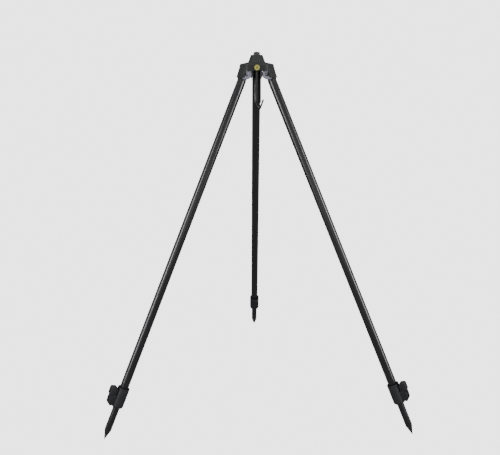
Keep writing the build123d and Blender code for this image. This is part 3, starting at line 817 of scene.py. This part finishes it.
@dataclass
class Fasteners:
    """Pivot bolts with their nuts, and the nut, washer and stud on top of the cap."""

    socket_flats: float = 4.0 * MM
    nut_flats: float = 10.0 * MM
    top_flats: float = 17.0 * MM
    thread_pitch: float = 1.5 * MM
    thread_depth: float = 0.7 * MM
    thread_radius: float = 5.0 * MM
    shank: float = 3.0 * MM
    bore: float = 3.05 * MM

    def sideways(self, arm: Axes, points: Array, at: Array, sign: float) -> Array:
        """Turns a lathe's Z axis to the arm's pivot line: (x, y, z) goes to out x, across sign z, up y."""
        local = np.stack([points[..., 0] * sign, points[..., 2] * sign, points[..., 1]], -1)
        return arm.world(local + at)

    def bolt(self, side: Side) -> None:
        """Button head with a hexagon socket; the socket is the head's profile cut by a hexagon's plan."""
        arm = Axes.of_arm(side)
        low, high = arm.span(f"pivot_bolt_{side.value}")
        seat = -arm.span(f"pivot_nut_{side.value}")[1][1]
        middle = (low + high) / 2
        radius = (high[0] - low[0]) / 2
        rise = high[1] - seat
        tip = low[1] - seat
        head = curve(
            (0, tip, 0), (self.shank * 0.85, tip, 0.1 * MM), (self.shank, tip + 0.8 * MM, 0.2 * MM),
            (self.shank, 0, 0.1 * MM), (radius, 0, 0.2 * MM), (radius, 0.9 * MM, 0.4 * MM),
            (0.62 * radius, rise, 0))
        crown_start = len(head)
        socket = np.array([[0.52 * radius, rise], [0.5 * radius, rise - 0.3 * MM], [0.5 * radius, 0.9 * MM],
                           [0, 0.7 * MM]])
        profile = np.concatenate([head, socket])
        points = lathe(profile, 96)
        plan = polygon_plan(6, self.socket_flats / 2, 96)
        cut = np.array([1.03, 1.0, 1.0])[:, None] * plan[None]
        angle = np.linspace(0, TURN, 96, endpoint=False)
        for i in range(3):
            points[crown_start + i, :, 0] = cut[i] * np.cos(angle)
            points[crown_start + i, :, 1] = cut[i] * np.sin(angle)
        at = np.array([middle[0], seat, middle[2]])
        piece = grid(f"button_bolt_{side.value}", self.sideways(arm, points, at, 1.0))
        place(piece, ZINC, "head", f"pivot_bolt_{side.value}")

    def nut(self, side: Side) -> None:
        """Lock nut: a hexagon with chamfered corners and a round collar for its insert."""
        arm = Axes.of_arm(side)
        low, high = arm.span(f"pivot_nut_{side.value}")
        middle = (low + high) / 2
        height = high[1] - low[1]
        corner = self.nut_flats / 2 / math.cos(math.pi / 6)
        flat = self.nut_flats / 2
        profile = curve(
            (self.bore, 0, 0), (corner - 0.4 * MM, 0, 0.1 * MM), (corner, 0.35 * MM, 0.2 * MM),
            (corner, 0.66 * height, 0.3 * MM), (flat - 0.3 * MM, 0.78 * height, 0.3 * MM),
            (flat - 0.5 * MM, height, 0.6 * MM), (3.5 * MM, height, 0.3 * MM), (self.bore, 0.9 * height, 0),
            closed=True)
        points = lathe(profile, 96, polygon_plan(6, self.nut_flats / 2, 96, 0.25))
        at = np.array([middle[0], high[1], middle[2]])
        piece = grid(f"lock_nut_{side.value}", self.sideways(arm, points, at, -1.0), loop=True)
        place(piece, ZINC, "head", f"pivot_nut_{side.value}")

    def top(self) -> None:
        """Hexagon nut, flat washer and the stud's threaded end.

        The thread is a screw surface: the radius falls and rises with the height less the pitch per turn.
        """
        low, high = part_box("top_nut")
        height = high.z - low.z
        corner = self.top_flats / 2 / math.cos(math.pi / 6)
        profile = curve(
            (self.thread_radius, 0, 0), (corner - 0.7 * MM, 0, 0.1 * MM), (corner, 0.5 * MM, 0.2 * MM),
            (corner, height - 0.5 * MM, 0.2 * MM), (corner - 1.1 * MM, height, 0.2 * MM),
            (5.6 * MM, height, 0.1 * MM), (self.thread_radius, height - 0.6 * MM, 0.1 * MM),
            steps=4, closed=True)
        points = lathe(profile, 96, polygon_plan(6, self.top_flats / 2, 96, 0.21))
        points[..., 2] += low.z
        place(grid("cap_nut", points, loop=True), ZINC, "head", "top_nut")
        low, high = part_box("top_washer")
        radius = (high.x - low.x) / 2
        ring = curve((5.2 * MM, low.z, 0.1 * MM), (radius, low.z, 0.2 * MM), (radius, high.z, 0.4 * MM),
                     (5.2 * MM, high.z, 0.1 * MM), steps=4, closed=True)
        place(grid("cap_washer", lathe(ring, 72), loop=True), ZINC, "head", "top_washer")
        low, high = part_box("hanger_stud")
        columns, rows = 48, 420
        z = np.linspace(low.z, high.z, rows)
        angle = np.linspace(0, TURN, columns, endpoint=False)
        phase = (z[:, None] / self.thread_pitch - angle[None] / TURN) % 1.0
        crest = self.thread_depth * np.abs(2 * phase - 1)
        end = np.clip((high.z - z) / (1.2 * MM), 0, 1)[:, None]
        radius = (self.thread_radius - crest) * (0.7 + 0.3 * np.sqrt(end))
        height = np.repeat(z[:, None], columns, 1)
        points = np.stack([radius * np.cos(angle), radius * np.sin(angle), height], -1)
        tip = np.zeros((1, columns, 3))
        points = np.concatenate([tip + [0, 0, low.z], points, tip + [0, 0, high.z]])
        place(grid("threaded_stud", points), ZINC, "head", "hanger_stud")

    def build(self) -> None:
        """All the head's fasteners."""
        for side in Side:
            self.bolt(side)
            self.nut(side)
        self.top()


@dataclass
class Hanger:
    """Hanging tube under the hub, and the wire hook that turns in its floor."""

    azimuth: float = math.radians(-40.0)
    wire: float = 5.2 * MM
    drop: float = 4.5 * MM
    reach: tuple[float, float] = (11.7 * MM, 24.7 * MM)
    depth: float = 13.0 * MM
    rise: float = 28.0 * MM
    bends: tuple[float, float] = (5.0 * MM, 4.0 * MM)
    floor: float = 5.0 * MM
    eye_depth: float = 4.0 * MM
    wall_rows: int = 14
    tip_radius: float = 0.2 * MM
    low_z: float = field(init=False)
    high_z: float = field(init=False)
    radius: float = field(init=False)

    def __post_init__(self) -> None:
        """Reads the tube's size from the frame."""
        low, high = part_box("hanger_barrel")
        self.low_z, self.high_z = low.z, high.z
        self.radius = (high.y - low.y) / 2

    def tube(self) -> None:
        """The tube is turned, with a rounded lower end round the hook's eye."""
        low, high, count = self.low_z, self.high_z, self.wall_rows
        eye, eye_top = self.wire / 2 + 0.1 * MM, low + self.eye_depth
        wall = np.stack([np.full(count, self.radius), np.linspace(low, high, count)], 1)
        corners = np.concatenate([[[0, eye_top], [eye, eye_top], [eye, low]], wall, [[0, high]]])
        radii = [0, 0, 0.5 * MM, 1.5 * MM, *[0] * (count - 2), 0.5 * MM, 0]
        place(grid("hanger_tube", lathe(rounded(corners, radii, 5), 96)), TUBE, "head", "hanger_barrel")

    def turned(self, points: Array) -> Array:
        """Points of the hook's own plane, XZ, turned about the axis to where the hook opens."""
        cos, sin = math.cos(self.azimuth), math.sin(self.azimuth)
        x, y, z = points[..., 0], points[..., 1], points[..., 2]
        return np.stack([x * cos - y * sin, x * sin + y * cos, z], -1)

    def hook(self) -> None:
        """The hook is a round wire along a path with two bends; its point is a quarter ellipse."""
        floor_z = self.low_z + self.floor
        bend_z = self.low_z - self.drop
        foot_z = bend_z - self.depth
        path = curve((0, floor_z, 0), (0, bend_z, self.bends[0]), (self.reach[0], foot_z, self.bends[1]),
                     (self.reach[1], foot_z + self.rise, 0), steps=14)
        path = path[np.concatenate([[True], np.linalg.norm(np.diff(path, axis=0), axis=1) > 1e-6])]
        size = np.full(len(path), self.wire / 2)
        along = (path[-1] - path[-2]) / np.linalg.norm(path[-1] - path[-2])
        angle = np.linspace(0, math.pi / 2, 7)
        tip = path[-1] - along * 0.45 * self.wire * (1 - np.sin(angle))[:, None]
        path = np.concatenate([path[:-1], tip])
        blunt = self.tip_radius + (self.wire / 2 - self.tip_radius) * np.cos(angle)
        rings = tube_along(path, np.concatenate([size[:-1], blunt]), 28)
        rings[-1] = np.array([path[-1][0], 0, path[-1][1]])
        start = np.repeat(np.array([[[0, 0, floor_z]]]), rings.shape[1], axis=1)
        wire = grid("wire_hook", self.turned(np.concatenate([start, rings])))
        place(wire, ENAMEL, "hook", "hook")
        head_r, head_z = 4.5 * MM, floor_z + 3 * MM
        head = curve((0, floor_z, 0), (head_r, floor_z, 0.3 * MM), (head_r, head_z, 0.5 * MM), (0, head_z, 0),
                     steps=4)
        place(grid("hook_head", lathe(head, 40)), ZINC, "hook")

    def build(self) -> None:
        """Tube and hook."""
        self.tube()
        self.hook()


# ------------------------------------------------------------------------------------------ legs
@dataclass
class Leg:
    """One telescopic leg: knuckle, two tubes, clamp with its cam lever, and spike."""

    side: Side
    tube_wall: float = 1.2 * MM
    spigot: float = 11.2 * MM
    flange: float = 12.8 * MM
    tongue: float = 7.5 * MM
    tongue_half: float = 12.1 * MM
    tongue_shoulder: float = -6.2 * MM
    land: float = 1.3 * MM
    axes: Axes = field(init=False)

    def __post_init__(self) -> None:
        """Reads the leg's axes from the frame."""
        self.axes = Axes.of_leg(self.side)

    def name(self, piece: str) -> str:
        """A piece's name on this leg."""
        return f"{piece}_{self.side.value}"

    def turned(self, name: str, profile: Array, finish: Finish, body: str, *nodes: str,
               columns: int = 80, loop: bool = False) -> Piece:
        """A lathe piece about the leg's axis, placed and dressed.

        Args:
            name: the piece's name without its side.
            profile: (radius, height up the leg) pairs.
            finish: what it is made of.
            body: the kind of body that it rides on.
            nodes: frame nodes that it stands for, without their side.
            columns: points round it.
            loop: whether the profile is closed.

        Returns:
            The placed piece.
        """
        points = self.axes.world(lathe(profile, columns))
        return place(grid(self.name(name), points, loop=loop), finish, f"{body}_{self.side.value}",
                     *[self.name(n) for n in nodes])

    def tubes(self) -> None:
        """Both tubes: plain turned walls with slightly rounded ends, in rows that carry their pattern."""
        rows_out, rows_in = 25, 9
        for node, body in (("upper_tube", "leg"), ("lower_tube", "lower_leg")):
            low, high = self.axes.span(self.name(node))
            radius = high[1]
            outside = np.stack([np.full(rows_out, radius), np.linspace(low[2], high[2], rows_out)], 1)
            inner = np.full(rows_in, radius - self.tube_wall)
            inside = np.stack([inner, np.linspace(high[2], low[2], rows_in)], 1)
            corners = np.concatenate([outside, inside])
            radii = np.zeros(len(corners))
            radii[[0, rows_out - 1, rows_out, rows_out + rows_in - 1]] = 0.3 * MM
            profile = rounded(corners, radii, 3, closed=True)
            self.turned(f"{node}_wall", profile, TUBE, body, node, loop=True)

    def knuckle(self) -> None:
        """Moulded end: the tongue is an outline carried across the leg, the flange and spigot are turned."""
        low, high = self.axes.span(self.name("leg_knuckle"))
        tube_top = self.axes.span(self.name("upper_tube"))[1][2]
        eye, half_width, shoulder = high[2], self.tongue, self.tongue_shoulder
        turn = np.linspace(-0.2 * math.pi, 1.2 * math.pi, 40)
        arc = np.stack([eye * np.cos(turn), eye * np.sin(turn)], 1)
        right = [[half_width, tube_top], [half_width, shoulder]]
        left = [[-half_width, shoulder], [-half_width, tube_top]]
        outline = np.concatenate([right, arc, left])
        parts = [slab(outline, -self.tongue_half, self.tongue_half, 1.0 * MM, 5)]
        radius = high[0] if high[0] < 14 * MM else self.flange
        under, over, step = tube_top - 1 * MM, tube_top + 2 * MM, radius - 0.4 * MM
        flange = curve((0, under, 0), (step, under, 0.1 * MM), (step, tube_top, 0.1 * MM),
                       (radius, tube_top, 0.3 * MM), (radius, over, 0.7 * MM), (0, over, 0), steps=4)
        parts.append(shell_of(lathe(flange, 80)))
        spigot_top = tube_top - 0.5 * MM
        spigot = curve((0, low[2], 0), (self.spigot, low[2], 1.5 * MM), (self.spigot, spigot_top, 0),
                       (0, spigot_top, 0), steps=4)
        parts.append(shell_of(lathe(spigot, 64)))
        piece = join(self.name("knuckle"), [(self.axes.world(p), f) for p, f in parts])
        place(piece, COVER, f"leg_{self.side.value}", self.name("leg_knuckle"))

    def spike(self) -> None:
        """Turned point: a cone with a short land, blunted at its tip, and the spigot hidden in the tube."""
        low, high = self.axes.span(self.name("foot_spike"))
        tube_low = self.axes.span(self.name("lower_tube"))[0][2]
        radius = self.axes.span(self.name("lower_tube"))[1][1]
        cone = tube_low - low[2]
        profile = curve(
            (0, low[2], 0), (0.5 * MM, low[2], 0.3 * MM),
            (radius - 0.15 * MM, low[2] + cone - 1.2 * MM, 1.2 * MM),
            (radius, low[2] + cone, 0.1 * MM), (radius - self.land, tube_low, 0),
            (radius - self.land, high[2], 1 * MM), (0, high[2], 0))
        # The cone gets more rows, so that the scratches near its point follow the UV map.
        share = np.linspace(0, 1, 10)[1:-1, None]
        cut = 10
        extra = profile[cut - 1] + share * (profile[cut] - profile[cut - 1])
        profile = np.concatenate([profile[:cut], extra, profile[cut:]])
        self.turned("spike_point", profile, SPIKE, "lower_leg", "foot_spike", columns=64)

    def hidden(self) -> None:
        """The slide bush and the brake pad are out of sight and keep their frame shapes."""
        for node in ("guide_bush", "brake_pad"):
            GUIDE.dress_node(self.name(node))

    def build(self) -> None:
        """All of the leg's pieces."""
        self.tubes()
        self.knuckle()
        self.spike()
        self.hidden()
        Clamp(self).build()


@dataclass
class Clamp:
    """Cam clamp at the foot of the upper tube: sleeve, ears, lever, pin and screw."""

    leg: Leg
    sleeve: float = 17.5 * MM
    foot: float = 14.8 * MM
    taper: float = 4.0 * MM
    rim_wall: float = 2.2 * MM
    rim_depth: float = 3.0 * MM
    ear: float = 12.5 * MM
    ear_inner: float = 5.2 * MM
    ear_outer: float = 9.0 * MM
    ear_heel: tuple[tuple[float, float], ...] = ((5.0, -20.0), (11.6, -11.5), (12.4, -7.1))
    blade_split: float = math.radians(40)
    blade_end: float = math.radians(112)
    hub: float = 4.9 * MM
    cam: float = 7.3 * MM
    cam_offset: float = 2.6 * MM
    bore: float = 10.15 * MM
    tube_seat: float = 12.5 * MM
    rib_pitch: float = 3.6
    pin: Array = field(init=False)
    low: Array = field(init=False)
    high: Array = field(init=False)

    def __post_init__(self) -> None:
        """Reads the pin's place on the leg from the lever's joint."""
        pin = np.array(joint(f"lever_open_{self.leg.side.value}")["pos_m"], float)
        self.pin = self.leg.axes.local(pin[None])[0][[0, 2]]
        self.low, self.high = self.leg.axes.span(self.leg.name("lock_collar"))

    def put(self, name: str, parts: list[Shell], finish: Finish, body: str, *nodes: str) -> None:
        """Joins shells given on the leg's axes into one placed piece."""
        world = [(self.leg.axes.world(points), faces) for points, faces in parts]
        place(join(self.leg.name(name), world), finish, f"{body}_{self.leg.side.value}",
              *[self.leg.name(n) for n in nodes])

    def sleeve_shell(self) -> Shell:
        """Turned sleeve: tapered foot, shallow waist band, rim with a step round the tube."""
        bottom, top = self.low[2], self.high[2]
        band, rim, rim_foot = self.sleeve - 0.4 * MM, self.sleeve - self.rim_wall, top - self.rim_depth
        profile = curve(
            (self.bore, bottom, 0.3 * MM), (self.foot, bottom, 1.0 * MM),
            (self.sleeve, bottom + self.taper, 1.6 * MM), (self.sleeve, top - 7.0 * MM, 0.4 * MM),
            (band, top - 6.4 * MM, 0.3 * MM), (band, top - 5.6 * MM, 0.3 * MM),
            (self.sleeve, top - 5.0 * MM, 0.4 * MM), (self.sleeve, top, 0.9 * MM), (rim, top, 0.5 * MM),
            (rim, rim_foot, 0.4 * MM), (self.tube_seat, rim_foot, 0.4 * MM),
            (self.tube_seat, top - 20 * MM, 0.2 * MM), (self.bore, top - 22 * MM, 0.2 * MM), closed=True)
        return shell_of(lathe(profile, 96), loop=True)

    def ear_outline(self) -> Array:
        """Round eye about the pin, with a heel below it and a straight foot down the sleeve."""
        x, z = self.pin
        turn = np.radians(np.linspace(-30, 140, 44))
        arc = np.stack([x + self.ear * np.cos(turn), z + self.ear * np.sin(turn)], 1)
        heel = [(x + out * MM, z + up * MM) for out, up in self.ear_heel]
        foot = rounded(np.array([
            arc[-1], [self.foot, z + self.ear - 4 * MM], [self.foot, z - 16.0 * MM], *heel, arc[0]]),
            [0, 1 * MM, 1 * MM, 2 * MM, 3 * MM, 0.6 * MM, 0], 6)
        return np.concatenate([arc, foot[1:-1]])

    def collar(self) -> None:
        """Sleeve with its two ears, each an outline carried across its thickness."""
        outline = self.ear_outline()
        parts = [self.sleeve_shell()]
        for sign in (-1, 1):
            ends = sorted((sign * self.ear_inner, sign * self.ear_outer))
            parts.append(slab(outline, ends[0], ends[1], 0.4 * MM, 4))
        self.put("clamp_body", parts, CLAMP, "leg", "lock_collar")

    def lever_outline(self) -> Array:
        """Side view of the lever: back along the sleeve, finger lip at the top, bulged outer face.

        The corners are millimetres out and up from the pin, each with its rounding.
        """
        corners = MM * np.array([
            [-4.9, 0, 0.5], [-4.6, 27, 2], [-1.5, 33, 1.5], [0.0, 36.5, 1.4], [14.5, 35.5, 1.4],
            [15.8, 31, 3], [15.2, 12, 5], [12.4, 2, 3], [4.9, -2.4, 1]])
        return rounded(self.pin + corners[:, :2], corners[:, 2], 7, closed=True)

    def blade_outline(self) -> Array:
        """The lever's outline above its split line, with a hollow that clears the ears."""
        x, z = self.pin
        clear = self.ear + 0.3 * MM
        turn = np.linspace(self.blade_split, self.blade_end, 30)
        hollow = np.stack([x + clear * np.cos(turn), z + clear * np.sin(turn)], 1)
        whole = self.lever_outline()
        rel = whole - self.pin
        angle = np.arctan2(rel[:, 1], rel[:, 0])
        above = (angle > self.blade_split) & (angle < self.blade_end + math.radians(0.5))
        upper = whole[above & (np.hypot(*rel.T) > clear + 0.2 * MM)]
        order = np.argsort(-np.arctan2(*(upper - self.pin).T[::-1]))
        return np.concatenate([hollow, upper[order]])

    def lever(self) -> None:
        """Narrow tongue with hub and cam between the ears, full-width blade above, grip ribs on its face."""
        tongue = self.lever_outline()
        tongue = tongue[tongue[:, 1] < self.pin[1] + 30 * MM]
        inner = self.ear_inner - 0.3 * MM
        parts = [slab(tongue, -inner, inner, 0.8 * MM, 4)]
        parts.append(slab(self.blade_outline(), -self.ear_outer, self.ear_outer, 0.5 * MM, 4))
        turn = np.linspace(0, TURN, 48, endpoint=False)
        circle = np.stack([np.cos(turn), np.sin(turn)], 1)
        parts.append(slab(self.pin + self.hub * circle, -inner, inner, 0.4 * MM, 3))
        middle = self.pin - [self.cam_offset, 0]
        parts.append(slab(middle + self.cam * circle, -3 * MM, 3 * MM, 0.3 * MM, 3))
        for i in range(4):
            up = (15.5 + self.rib_pitch * i) * MM
            out = (13.55 + 0.11 * (up / MM - 12)) * MM
            rib = self.pin + curve(
                (out - 1.2 * MM, up - 0.9 * MM, 0.3 * MM), (out + 0.4 * MM, up - 0.5 * MM, 0.3 * MM),
                (out + 0.5 * MM, up + 0.5 * MM, 0.3 * MM), (out - 1 * MM, up + 0.9 * MM, 0.3 * MM),
                steps=4, closed=True)
            parts.append(slab(rib, -6.5 * MM, 6.5 * MM, 0.3 * MM, 3))
        self.put("flip_lever", parts, CLAMP, "lever", "cam_lever")

    def pin_and_screws(self) -> None:
        """The lever's pin with riveted ends; the rivet and the screw keep their frame shapes."""
        x, z = self.pin
        end = self.leg.axes.span(self.leg.name("lever_pin"))[1][1]
        face, side, bend = 1.5 * MM, 2.0 * MM, 0.3 * MM
        profile = curve((0, -end, 0), (face, -end, bend), (side, 0.5 * MM - end, bend),
                        (side, end - 0.5 * MM, bend), (face, end, bend), (0, end, 0), steps=4)
        points = lathe(profile, 32)
        across = np.stack([points[..., 0] + x, points[..., 2], points[..., 1] + z], -1)
        self.put("hinge_pin", [shell_of(across)], ZINC, "leg", "lever_pin")
        for node in ("knuckle_rivet", "collar_screw"):
            ZINC.dress_node(self.leg.name(node))

    def build(self) -> None:
        """All of the clamp's pieces."""
        self.collar()
        self.lever()
        self.pin_and_screws()


# ------------------------------------------------------------------------------------------ studio
@dataclass
class Studio:
    """Camera, four soft boxes, a pale backdrop and a grey floor."""

    distance: float = 1.7377
    height: float = 1.0435
    pitch: float = math.radians(15.45)
    around: float = math.radians(1.358)
    roll: float = math.radians(-0.08)
    aside: float = 6.91
    focal_pixels: float = 581.8
    image_width: float = 500.0
    sensor: float = 36.0
    ambient: float = 0.45
    backdrop: float = 3.2
    aim_z: float = 0.55
    floor_reach: float = 12.0

    def camera(self) -> None:
        """Camera at the stand's front, a little to its left, looking down by the pitch."""
        data = bpy.data.cameras.new("camera")
        data.sensor_width = self.sensor
        data.lens = self.focal_pixels / self.image_width * self.sensor
        data.shift_x = -self.aside / self.image_width
        view = bpy.data.objects.new("camera", data)
        x, y = -self.distance * math.sin(self.around), -self.distance * math.cos(self.around)
        view.location = (x, y, self.height)
        level = Euler((math.pi / 2 - self.pitch, 0, -self.around)).to_matrix()
        view.rotation_euler = (level @ Matrix.Rotation(self.roll, 3, "Z")).to_euler()
        bpy.context.scene.collection.objects.link(view)
        bpy.context.scene.camera = view

    def area(self, name: str, azimuth: float, distance: float, z: float, width: float, tall: float,
             power: float) -> None:
        """A soft box that faces the middle of the stand.

        Args:
            name: the light's name.
            azimuth: degrees round from the front, positive to the right.
            distance: metres from the stand's axis.
            z: its height.
            width: its width.
            tall: its other side.
            power: watts.
        """
        data = bpy.data.lights.new(name, "AREA")
        data.shape = "RECTANGLE"
        data.size = width
        data.size_y = tall
        data.energy = power
        box = bpy.data.objects.new(name, data)
        turn = math.radians(azimuth)
        x, y = distance * math.sin(turn), -distance * math.cos(turn)
        box.location = (x, y, z)
        aim = np.array([-x, -y, self.aim_z - z])
        box.rotation_euler = (math.atan2(math.hypot(aim[0], aim[1]), -aim[2]), 0, math.atan2(-aim[0], aim[1]))
        bpy.context.scene.collection.objects.link(box)

    def world(self) -> None:
        """White surroundings: ambient light on the stand, and a brighter backdrop for the camera."""
        world = bpy.data.worlds.new("surroundings")
        world.use_nodes = True
        tree = world.node_tree
        tree.nodes["Background"].inputs["Color"].default_value = (1, 1, 1, 1)
        seen = add_node(tree, "LightPath").outputs["Is Camera Ray"]
        strength = spread(tree, seen, self.ambient, self.backdrop, 0.0, 1.0)
        tree.links.new(strength, tree.nodes["Background"].inputs["Strength"])
        bpy.context.scene.world = world

    def floor(self) -> None:
        """Grey sheet at the ground that throws light up on the stand.

        The camera sees past it to the backdrop, so that legs folded below the ground stay in view.
        """
        reach = self.floor_reach
        points = np.array([[-reach, -reach, 0], [reach, -reach, 0], [reach, reach, 0], [-reach, reach, 0]])
        sheet = mesh_from("studio_floor", points, [(0, 1, 2, 3)])
        paper = bpy.data.materials.new("studio_paper")
        paper.use_nodes = True
        tree = paper.node_tree
        shader = tree.nodes["Principled BSDF"]
        shader.inputs["Base Color"].default_value = linear("#7d7d7d")
        shader.inputs["Roughness"].default_value = 0.9
        clear = add_node(tree, "BsdfTransparent").outputs[0]
        seen = add_node(tree, "LightPath").outputs["Is Camera Ray"]
        paper_look = add_node(tree, "MixShader", {0: seen, 1: shader.outputs[0], 2: clear}).outputs[0]
        tree.links.new(paper_look, tree.nodes["Material Output"].inputs["Surface"])
        sheet.data.materials.append(paper)

    def build(self) -> None:
        """Everything round the stand."""
        self.camera()
        for name, azimuth in (("left_box", -54), ("right_box", 62)):
            self.area(name, azimuth, distance=2.4, z=1.2, width=0.5, tall=1.6, power=60)
        self.area("top_box", 10, distance=0.6, z=2.9, width=1.6, tall=1.6, power=30)
        self.area("front_box", 0, distance=2.6, z=1.04, width=2.0, tall=0.5, power=7)
        log.info("studio: camera, four soft boxes, backdrop and floor")
        self.world()
        self.floor()


def main() -> None:
    """Builds every sub-assembly in order."""
    logging.basicConfig(level=logging.INFO, format="%(name)s %(message)s")
    HeadCover().build()
    Badge().build()
    HubCasting().build()
    Fasteners().build()
    Hanger().build()
    for side in Side:
        Leg(side).build()
    Studio().build()


if __name__ == "__main__":
    main()
